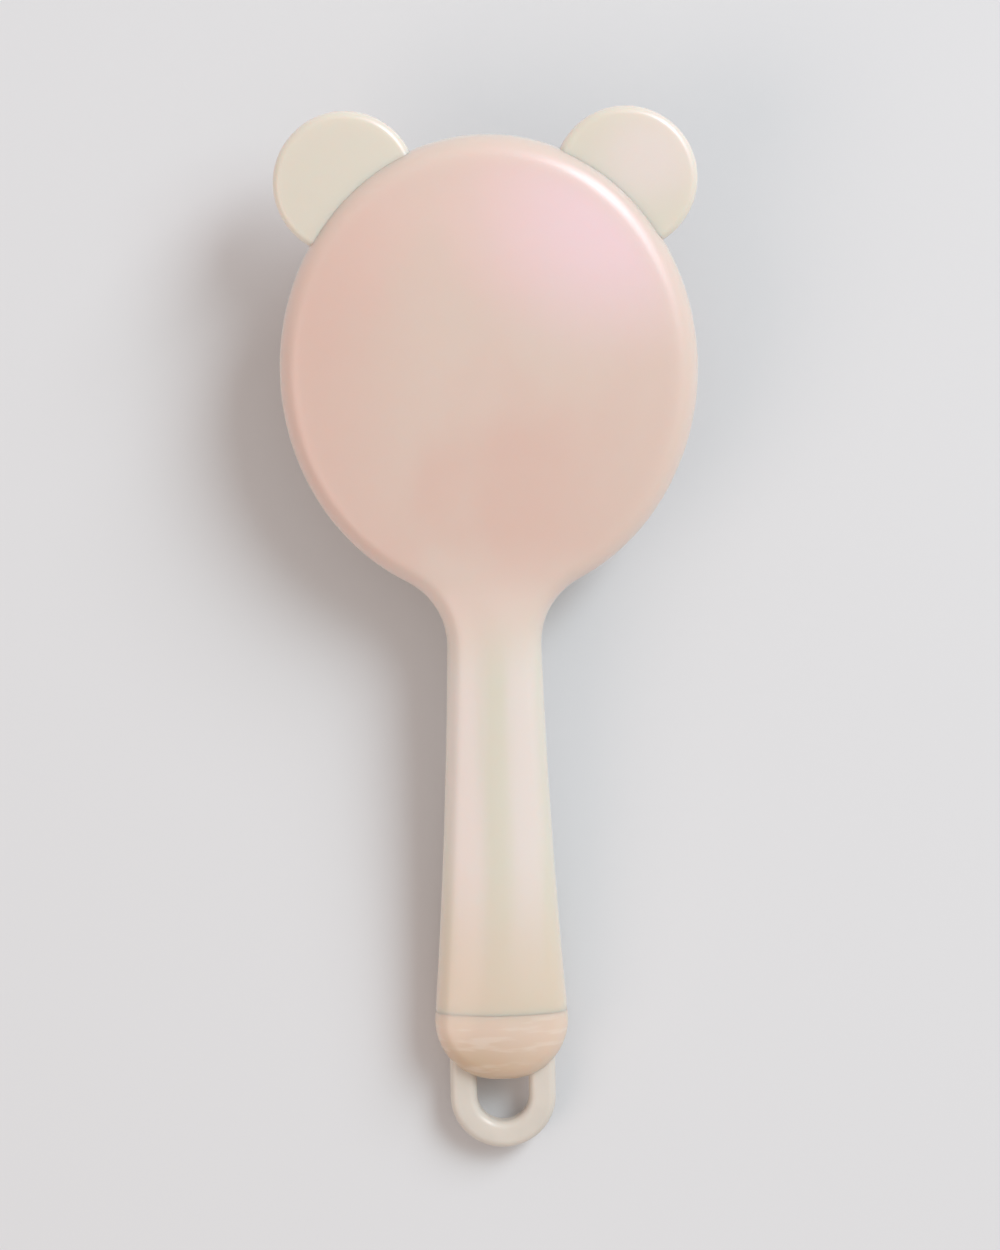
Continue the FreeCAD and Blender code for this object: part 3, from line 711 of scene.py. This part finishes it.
def cap_plastic(name):
    """Pearl ABS of the end cap, moulded and polished, peach at the seam and amber at the tip, the amber deepened by
    painted shade.

    The eye sees a warm, milky bead with a clear gloss and a few fine bright streaks across it, painted highlights
    that stand in for glints of the light."""
    material, tree = new_material(name)
    s, c = sizes(), colours()
    where = level_coordinates(tree)
    axes = add(tree, "ShaderNodeSeparateXYZ", {"Vector": where}).outputs
    seam, tip = -s.seam_place * 1000, -(s.seam_place + s.cap_length) * 1000
    # Painted highlights: fine bright streaks, 9 mm long and 2 mm apart, stand in for glints of the light on the
    # cap.
    spans = {
        "depth": (axes["Y"], seam - 2.0, tip + 2.5, 0.0, 1.0),
        "aside": (axes["X"], -12.0, 12.0, 1.0, 0.35),
        "painted_streak_highlights": (clouds(tree, where, 9.0909, 5.0, 2.0), 0.52, 0.68, 0.0, 0.3),
    }
    share = {}
    for key, (source, low, high, at_low, at_high) in spans.items():
        limits = {"From Min": low, "From Max": high, "To Min": at_low, "To Max": at_high}
        smooth = {"interpolation_type": "SMOOTHSTEP", "Value": source, **limits}
        share[key] = add(tree, "ShaderNodeMapRange", smooth).outputs["Result"]
    # Painted shade on top of the cap's own peach-to-amber colour: the amber deepens towards the tip and the left
    # side, where the dome turns away from the light.
    amber = add(tree, "ShaderNodeMath", {"operation": "MULTIPLY", 0: share["depth"], 1: share["aside"]})
    base = add(tree, "ShaderNodeMix", {"data_type": "RGBA", 0: amber.outputs[0], 6: c.peach, 7: c.amber})
    base = add(tree, "ShaderNodeMix", {"data_type": "RGBA", 0: share["painted_streak_highlights"], 6: base.outputs[2], 7: c.edge})
    surface = add(
        tree,
        "ShaderNodeBsdfPrincipled",
        {
            "Base Color": base.outputs[2],
            "Roughness": 0.42,
            "Subsurface Weight": 0.6,
            "Subsurface Radius": (1.0, 0.6, 0.45),
            "Subsurface Scale": 0.004,
            "IOR": 1.5,
            "Coat Weight": 0.6,
            "Coat Roughness": 0.2,
        },
    )
    add(tree, "ShaderNodeOutputMaterial", {"Surface": surface.outputs["BSDF"]})
    return material


def moulded_plastic(name, tint, roughness, grain=0.0):
    """A plain plastic or rubber straight from its mould, with the strength of its grain.

    The eye sees one even colour that clouds by a few percent over 8 mm, and a gloss that is a little
    uneven. The mould's own texture is finer than a tenth of a millimetre. It is drawn 0.9 mm coarse, so
    that it shows."""
    material, tree = new_material(name)
    where = level_coordinates(tree)
    tone = add(
        tree,
        "ShaderNodeMapRange",
        {
            "Value": clouds(tree, where, 8.3333),
            "From Min": 0.35,
            "From Max": 0.65,
            "To Min": 0.96,
            "To Max": 1.03,
        },
    )
    base = add(
        tree,
        "ShaderNodeVectorMath",
        {"operation": "SCALE", 0: tuple(tint)[:3], "Scale": tone.outputs["Result"]},
    )
    haze = clouds(tree, where, 0.90909, 1.0, 4.0)
    gloss = add(
        tree,
        "ShaderNodeMapRange",
        {
            "Value": haze,
            "From Min": 0.3,
            "From Max": 0.7,
            "To Min": roughness - 0.04,
            "To Max": roughness + 0.05,
        },
    )
    bump = add(tree, "ShaderNodeBump", {"Height": haze, "Strength": grain, "Distance": 0.02 * MM})
    surface = add(
        tree,
        "ShaderNodeBsdfPrincipled",
        {
            "Base Color": base.outputs[0],
            "Roughness": gloss.outputs["Result"],
            "Normal": bump.outputs[0],
            "IOR": 1.5,
            "Subsurface Weight": 0.15,
            "Subsurface Radius": (1.0, 0.6, 0.45),
            "Subsurface Scale": 0.002,
        },
    )
    add(tree, "ShaderNodeOutputMaterial", {"Surface": surface.outputs["BSDF"]})
    return material


def plated_steel(name):
    """Zinc plated steel of the screws. The eye sees a bright grey metal, dulled by a fine haze."""
    material, tree = new_material(name)
    surface = add(
        tree,
        "ShaderNodeBsdfPrincipled",
        {"Metallic": 1.0, "Base Color": linear("#b9bbbd"), "Roughness": 0.3},
    )
    add(tree, "ShaderNodeOutputMaterial", {"Surface": surface.outputs["BSDF"]})
    return material


def material_named(name, make, *values):
    """The material of that name, made when first asked for."""
    return bpy.data.materials.get(name) or make(name, *values)


class HAIRBRUSH_OT_body(bpy.types.Operator):
    """Makes the smooth back, the front with its recess, and the domed end cap"""

    bl_idname = "hairbrush.body"
    bl_label = "Body shells and end cap"

    def execute(self, context):
        s = sizes()
        lap, voxel = 1.2 * MM, 0.3 * MM  # how far the cap runs under the handle's skin, and its mesh size
        body = Body()
        back = half_body(body, "brush_back", True, s.back_round)
        front = half_body(body, "brush_front", False, s.front_round)
        caps = []
        for half in (back, front):
            pick(half)
            bpy.ops.object.duplicate()
            cap = new_object("cap_half")
            keep_side(cap, body.seam + lap, True)
            caps.append(cap)
            keep_side(half, body.seam, False)
        self.cut_recess(front)
        pick(caps[0])
        caps[1].select_set(True)
        bpy.ops.object.join()
        cap = new_object("brush_end_cap")
        apply_modifier(cap, "REMESH", mode="VOXEL", voxel_size=voxel)
        apply_modifier(cap, "SMOOTH", factor=0.5, iterations=8)
        pearl = material_named("Pearl ABS back", pearl_plastic, True)
        plain = material_named("Pearl ABS front", pearl_plastic, False)
        peach = material_named("Peach ABS cap", cap_plastic)
        finish_piece(back, pearl, "body", ["back_shell"])
        finish_piece(front, plain, "body", ["front_shell"])
        finish_piece(cap, peach, "body", ["end_cap"])
        return {"FINISHED"}

    def cut_recess(self, front):
        """Cuts the oval recess that holds the cushion, with a small lead-in at its mouth."""
        s = sizes()
        wall, face, ledge, lead = s.recess_width / 2, -s.front_face, -s.recess_floor, s.recess_lead
        clear = 4 * MM
        # The lead-in is a slope in two steps, steeper at its inner end.
        profile = [
            (0.0, ledge),
            (wall, ledge),
            (wall, face + lead),
            (wall + lead * 2 / 7, face + lead * 12 / 35),
            (wall + lead, face - 0.01 * MM),
            (wall + lead, face - clear),
            (0.0, face - clear),
        ]
        cutter = spun("recess_cutter", profile)
        stretch_to_oval(cutter)
        apply_modifier(front, "BOOLEAN", operation="DIFFERENCE", object=cutter, solver="EXACT")
        bpy.data.objects.remove(cutter, do_unlink=True)


class HAIRBRUSH_OT_ears(bpy.types.Operator):
    """Makes the two round ears, flat discs with softened edges"""

    bl_idname = "hairbrush.ears"
    bl_label = "Ears"

    def execute(self, context):
        s = sizes()
        root = 38.5 * MM  # each ear is cut off here, inside the head
        plain = material_named("Pearl ABS front", pearl_plastic, False)
        for side, name in ((-1, "ear_left"), (1, "ear_right")):
            clear_selection()
            bpy.ops.mesh.primitive_cylinder_add(vertices=160, radius=s.ear_radius, depth=s.ear_thickness)
            obj = new_object("brush_" + name)
            bpy.ops.object.mode_set(mode="EDIT")
            mesh = bmesh.from_edit_mesh(obj.data)
            for edge in mesh.edges:
                edge.select = abs(edge.verts[0].co.z - edge.verts[1].co.z) < 1e-6
            bmesh.update_edit_mesh(obj.data)
            bpy.ops.mesh.bevel(offset=s.ear_round, segments=8, profile=0.5)
            bpy.ops.object.mode_set(mode="OBJECT")
            middle = Vector((side * s.ear_side, s.ear_reach, s.ear_top - s.ear_thickness / 2))
            obj.data.transform(Matrix.Translation(middle))
            out = Vector((side * s.ear_side, s.ear_reach, 0)).normalized()
            pick(obj)
            bpy.ops.object.mode_set(mode="EDIT")
            bpy.ops.mesh.select_all(action="SELECT")
            bpy.ops.mesh.bisect(
                plane_co=out * root, plane_no=out, use_fill=True, clear_inner=True, threshold=1e-6
            )
            bpy.ops.object.mode_set(mode="OBJECT")
            finish_piece(obj, plain, "body", [name], angle=30)
        return {"FINISHED"}


def pad_half_profile():
    """The cushion's face from the bead inside the ring to its middle, as (radius, height) points."""
    s = sizes()
    bead, wall, shoulder = s.pad_bead_width / 2, s.pad_wall_width / 2, s.pad_shoulder_width / 2
    top, wall_end, shoulder_end, crown = -s.pad_top, -s.pad_wall_end, -s.pad_shoulder_end, -s.pad_crown
    slope = (shoulder_end - crown) / shoulder
    corner = (wall, shoulder_end + slope * 0.6 * (wall - shoulder))
    under = top - s.pad_bead_height
    out = [(bead, top), (bead, under), (wall + 0.2 * MM, under - 0.1 * MM), (wall, under - 0.5 * MM)]
    out += [(wall, top + (wall_end - top) * t) for t in (0.6, 0.8)]
    turn_steps, dome_steps = 12, 32
    for i in range(turn_steps + 1):
        t = i / turn_steps
        a, b, d = (1 - t) ** 2, 2 * t * (1 - t), t * t
        out.append((wall * a + corner[0] * b + shoulder * d, wall_end * a + corner[1] * b + shoulder_end * d))
    lean = (shoulder - corner[0], shoulder_end - corner[1])
    poles = [
        (shoulder, shoulder_end),
        (shoulder + lean[0] * 3.5, shoulder_end + lean[1] * 3.5),
        (shoulder * 0.4, crown),
        (0.0, crown),
    ]
    for i in range(1, dome_steps + 1):
        t = i / dome_steps
        w = ((1 - t) ** 3, 3 * t * (1 - t) ** 2, 3 * t * t * (1 - t), t**3)
        out.append(tuple(sum(w[k] * poles[k][axis] for k in range(4)) for axis in (0, 1)))
    return out


def pad_height(radius):
    """Height of the cushion's face at a distance from its middle along X."""
    profile = pad_half_profile()[6:]  # the bead and the straight wall are left out
    for (r0, z0), (r1, z1) in zip(profile, profile[1:]):
        if r1 <= radius <= r0 and r0 > r1:
            return z0 + (z1 - z0) * (r0 - radius) / (r0 - r1)
    return profile[-1][1]


class HAIRBRUSH_OT_cushion(bpy.types.Operator):
    """Makes the soft domed cushion and the ring that holds its rim"""

    bl_idname = "hairbrush.cushion"
    bl_label = "Cushion and ring"

    def execute(self, context):
        s, c = sizes(), colours()
        profile = pad_half_profile()
        pad = spun("brush_cushion", [(0.0, profile[0][1])] + profile, steps=192)
        stretch_to_oval(pad)
        rubber = material_named("Soft rubber cushion", moulded_plastic, c.rubber, 0.5, 0.3)
        finish_piece(pad, rubber, None, ["cushion_pad"], angle=50)
        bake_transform(pad)
        outer, inner, top, face = s.ring_width / 2, s.ring_hole / 2, -s.ring_top, -s.ring_face
        points = rounded([(outer, top), (outer, face), (inner, face), (inner, top)], s.ring_round)
        bezel = spun("brush_bezel", points + [points[0]], steps=192)
        stretch_to_oval(bezel)
        satin = material_named("Satin ABS ring", moulded_plastic, c.cream, 0.35)
        finish_piece(bezel, satin, "body", ["cushion_bezel"], angle=50)
        return {"FINISHED"}


class HAIRBRUSH_OT_pins(bpy.types.Operator):
    """Makes the ball-tipped bristle pins, ring by ring"""

    bl_idname = "hairbrush.pins"
    bl_label = "Bristle pins"

    def execute(self, context):
        c = colours()
        nylon = material_named("Polished nylon pins", moulded_plastic, c.nylon, 0.25)
        model = self.pin("pin_model")
        for ring in range(6):
            pins = []
            for place in self.places(ring):
                pin = bpy.data.objects.new("pin", model.data.copy())
                context.scene.collection.objects.link(pin)
                pin.data.transform(place)
                pins.append(pin)
            clear_selection()
            for pin in pins:
                pin.select_set(True)
            context.view_layer.objects.active = pins[0]
            if len(pins) > 1:
                bpy.ops.object.join()
            obj = new_object("brush_pins_%d" % ring)
            finish_piece(obj, nylon, "cushion", ["pins_ring_%d" % ring], angle=60)
        bpy.data.objects.remove(model, do_unlink=True)
        return {"FINISHED"}

    def pin(self, name):
        """One pin that points down, with a soft collar at the cushion and a ball on its tip."""
        s = sizes()
        ball, tip, root, collar = s.pin_ball / 2, s.pin_tip / 2, s.pin_root / 2, s.pin_collar / 2
        centre = ball - s.pin_length
        points = [
            (0.0, 0.5 * MM),
            (collar - 0.05 * MM, 0.4 * MM),
            (collar, 0.05 * MM),
            (collar - 0.2 * MM, -0.18 * MM),
            (root, -0.5 * MM),
            (tip, centre + ball * 0.88),
        ]
        for i in range(7):
            turn = math.radians(55 - 145 * i / 6)
            points.append((max(0.0, ball * math.cos(turn)), centre + ball * math.sin(turn)))
        return spun(name, points, steps=12)

    def places(self, ring):
        """Where the pins of a ring stand, leaning outwards with the cushion's dome."""
        s = sizes()
        stretch = s.head_length / s.head_width
        if ring == 0:
            return [Matrix.Translation((0, 0, pad_height(0)))]
        count, share = 6 * ring, s.pin_spacing * ring
        found = []
        for i in range(count):
            turn = 2 * math.pi * (i + 0.5 * (ring % 2)) / count
            spot = Vector((share * math.cos(turn), share * math.sin(turn) * stretch, pad_height(share)))
            out = Vector((math.cos(turn), math.sin(turn), 0))
            lean = Matrix.Rotation(-s.pin_lean * ring, 4, out.cross(Vector((0, 0, -1))))
            found.append(Matrix.Translation(spot) @ lean)
        return found


class HAIRBRUSH_OT_loop(bpy.types.Operator):
    """Makes the flat hanging loop that comes out of the end cap"""

    bl_idname = "hairbrush.loop"
    bl_label = "Hanging loop"

    def execute(self, context):
        s, c = sizes(), colours()
        outer, inner = s.loop_width / 2, s.loop_hole / 2
        bar, middle = outer - inner, (outer + inner) / 2
        clear_selection()
        bpy.ops.mesh.primitive_plane_add(size=1)
        obj = new_object("brush_loop")
        turn = Matrix.Rotation(math.radians(90), 4, "X") @ Matrix.Diagonal((bar, s.loop_thickness, 1, 1))
        obj.data.transform(Matrix.Translation((middle, -s.loop_place, 0)) @ turn)
        bpy.ops.object.mode_set(mode="EDIT")
        bpy.ops.mesh.select_all(action="SELECT")
        bpy.ops.mesh.bevel(offset=s.loop_round, segments=7, affect="VERTICES")
        bpy.ops.mesh.select_all(action="SELECT")
        bpy.ops.mesh.spin(steps=64, angle=math.pi, center=(0, -s.loop_place, 0), axis=(0, 0, 1))
        bpy.ops.mesh.remove_doubles(threshold=0.001 * MM)
        mesh = bmesh.from_edit_mesh(obj.data)
        mesh.select_mode = {"FACE"}
        for face in mesh.faces:
            face.select = all(abs(v.co.y + s.loop_place) < 0.01 * MM for v in face.verts)
        mesh.select_flush_mode()
        bmesh.update_edit_mesh(obj.data)
        bpy.ops.mesh.select_mode(type="FACE")
        bpy.ops.mesh.extrude_region_move()
        mesh = bmesh.from_edit_mesh(obj.data)
        for vertex in mesh.verts:
            if vertex.select:
                vertex.co.y = -s.loop_root
        bmesh.update_edit_mesh(obj.data)
        bpy.ops.mesh.select_all(action="SELECT")
        bpy.ops.mesh.remove_doubles(threshold=0.001 * MM)
        bpy.ops.mesh.normals_make_consistent(inside=False)
        bpy.ops.object.mode_set(mode="OBJECT")
        satin = material_named("Satin ABS loop", moulded_plastic, c.loop, 0.33)
        finish_piece(obj, satin, "body", ["hanging_loop"], angle=60)
        return {"FINISHED"}


class HAIRBRUSH_OT_fixings(bpy.types.Operator):
    """Gives the hidden screws and the dowel their finish"""

    bl_idname = "hairbrush.fixings"
    bl_label = "Screws and dowel"

    def execute(self, context):
        steel = material_named("Plated steel screws", plated_steel)
        dowel = material_named("Natural ABS dowel", moulded_plastic, colours().cream, 0.5)
        for node, material in (("shell_screws", steel), ("loop_dowel", dowel)):
            for slot in frame["nodes"][node].material_slots:
                slot.material = material
        return {"FINISHED"}


class HAIRBRUSH_OT_stage(bpy.types.Operator):
    """Sets the table, the soft light from the upper right and the camera above"""

    bl_idname = "hairbrush.stage"
    bl_label = "Table, light and camera"

    def execute(self, context):
        scene = context.scene
        clear_selection()
        bpy.ops.mesh.primitive_plane_add(size=8)
        table = new_object("table_top")
        # Matt paint gives the eye an even, pale floor with soft shadows and no gloss.
        material, tree = new_material("Matt painted table")
        surface = add(
            tree, "ShaderNodeBsdfPrincipled", {"Base Color": colours().table, "Roughness": 0.9, "IOR": 1.4}
        )
        add(tree, "ShaderNodeOutputMaterial", {"Surface": surface.outputs["BSDF"]})
        table.data.materials.append(material)
        world = bpy.data.worlds.new("Studio")
        scene.world = world
        world.use_nodes = True
        sky = world.node_tree.nodes["Background"]
        sky.inputs["Color"].default_value = linear("#fff6f1")
        sky.inputs["Strength"].default_value = 0.54
        self.lamp("key_light", (0.52, 0.31, 0.80), 2.4, (1.3, 1.3), 15.0, "#e3fbff")
        self.lamp("fill_light", (-0.62, -0.35, 0.70), 2.4, (1.6, 1.6), 10.5, "#ffe6d8")
        self.lamp("edge_light", (0.51, 0.50, 0.70), 2.0, (0.7, 1.5), 18.5, "#f3f8ff")
        scene.view_settings.view_transform = "Standard"
        self.camera(scene)
        return {"FINISHED"}

    def lamp(self, name, direction, distance, spread, power, code):
        """An oval soft box, so wide and so tall, aimed at the middle of the brush."""
        data = bpy.data.lights.new(name, "AREA")
        data.shape, data.energy = "ELLIPSE", power
        data.size, data.size_y = spread
        data.color = linear(code)[:3]
        obj = bpy.data.objects.new(name, data)
        bpy.context.scene.collection.objects.link(obj)
        out = Vector(direction).normalized()
        obj.location = out * distance
        obj.rotation_euler = out.to_track_quat("Z", "Y").to_euler()

    def camera(self, scene):
        """A long lens straight above, turned a little as the photograph is."""
        aside, ahead, height, turn = 0.0012, -0.0506, 0.93, -0.0195
        data = bpy.data.cameras.new("overhead")
        data.lens, data.sensor_width, data.clip_end = 132, 36, 20
        camera = bpy.data.objects.new("overhead", data)
        scene.collection.objects.link(camera)
        head = LAID @ Vector((0, 0, 0))
        camera.location = (head.x + aside, head.y + ahead, height)
        camera.rotation_euler = (0, 0, turn)
        scene.camera = camera


class HAIRBRUSH_PT_panel(bpy.types.Panel):
    """The brush's pieces, sizes and colours"""

    bl_label = "Vanity Hairbrush"
    bl_idname = "HAIRBRUSH_PT_panel"
    bl_space_type = "VIEW_3D"
    bl_region_type = "UI"
    bl_category = "Hairbrush"

    def draw(self, context):
        for operator in OPERATORS:
            self.layout.operator(operator.bl_idname)
        for group in (context.scene.brush_sizes, context.scene.brush_colours):
            box = self.layout.box()
            for name in group.__annotations__:
                box.prop(group, name)


OPERATORS = (
    HAIRBRUSH_OT_body,
    HAIRBRUSH_OT_ears,
    HAIRBRUSH_OT_cushion,
    HAIRBRUSH_OT_pins,
    HAIRBRUSH_OT_loop,
    HAIRBRUSH_OT_fixings,
    HAIRBRUSH_OT_stage,
)
CLASSES = (BrushSizes, BrushColours) + OPERATORS + (HAIRBRUSH_PT_panel,)


def register():
    """Adds the classes and the scene's brush properties."""
    for cls in CLASSES:
        bpy.utils.register_class(cls)
    bpy.types.Scene.brush_sizes = bpy.props.PointerProperty(type=BrushSizes)
    bpy.types.Scene.brush_colours = bpy.props.PointerProperty(type=BrushColours)


def unregister():
    """Removes them again."""
    del bpy.types.Scene.brush_colours
    del bpy.types.Scene.brush_sizes
    for cls in reversed(CLASSES):
        bpy.utils.unregister_class(cls)


def main():
    """Builds everything."""
    register()
    for operator in OPERATORS:
        group, name = operator.bl_idname.split(".")
        getattr(getattr(bpy.ops, group), name)()


if __name__ == "__main__":
    main()
